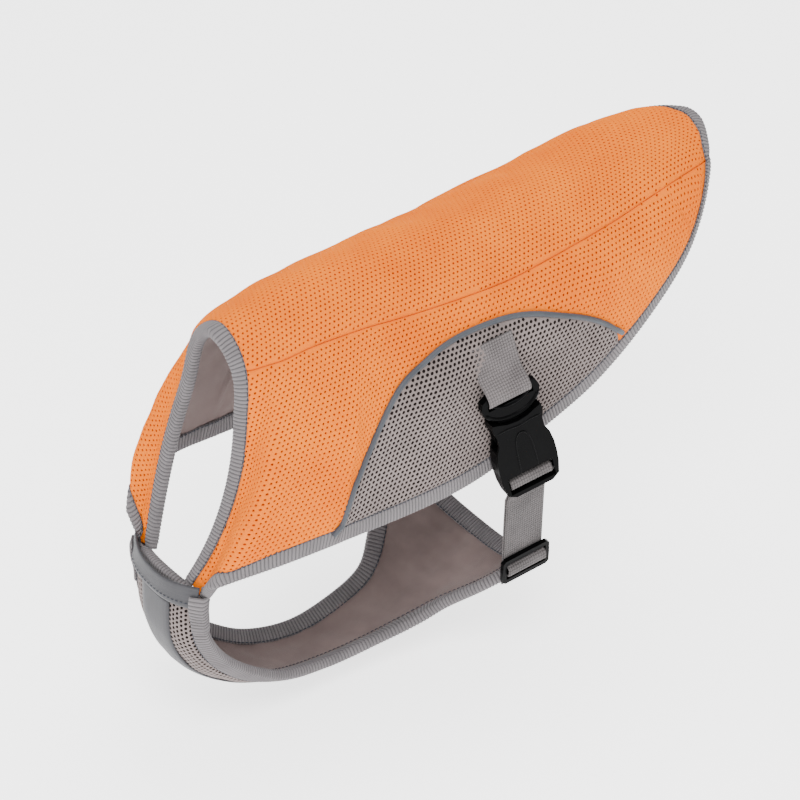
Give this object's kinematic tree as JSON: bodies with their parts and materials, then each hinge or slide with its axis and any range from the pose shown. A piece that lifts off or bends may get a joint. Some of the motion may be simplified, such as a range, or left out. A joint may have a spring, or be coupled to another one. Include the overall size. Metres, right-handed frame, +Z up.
{
  "type": "dog cooling vest",
  "caption": "Hollow dog cooling vest, filled out as worn: orange mesh back, gray mesh flanks and chest, ribbed edging, side-release buckles at the belly.",
  "frame": {"origin": "on the lining under the spine, where the wearer's back carries the vest, 150 mm behind the neck edge", "axes": "+X from the neck to the tail, +Y to the dog's right, +Z up"},
  "size_m": [0.3594, 0.1634, 0.2601],
  "materials": {
    "orange_air_mesh": "matte air mesh",
    "gray_air_mesh": "matte air mesh",
    "lining_knit": "fine matte knit",
    "ribbed_tape": "ribbed matte knit tape",
    "piping_cord": "smooth satin cloth",
    "smooth_gray_cloth": "smooth satin cloth",
    "woven_webbing": "plain weave, matte",
    "black_plastic": "moulded, satin"
  },
  "bodies": {
    "root": {"back_center": "orange_air_mesh", "side_left": "orange_air_mesh", "side_right": "orange_air_mesh", "flank_left": "gray_air_mesh", "flank_right": "gray_air_mesh", "chest_panel": "gray_air_mesh", "back_lining": "lining_knit", "chest_lining": "lining_knit", "neck_binding": "ribbed_tape", "hem_binding": "ribbed_tape", "chest_binding_left": "ribbed_tape", "chest_binding_right": "ribbed_tape", "chest_neck_binding": "ribbed_tape", "belly_binding": "ribbed_tape", "flank_piping_left": "piping_cord", "flank_piping_right": "piping_cord", "chest_band": "smooth_gray_cloth", "chest_strip": "smooth_gray_cloth", "upper_webbing_left": "woven_webbing", "upper_webbing_right": "woven_webbing", "lower_webbing_left": "woven_webbing", "lower_webbing_right": "woven_webbing", "buckle_male_left": "black_plastic", "buckle_male_right": "black_plastic", "buckle_female_left": "black_plastic", "buckle_female_right": "black_plastic", "slider_left": "black_plastic", "slider_right": "black_plastic"}
  },
  "joints": []
}
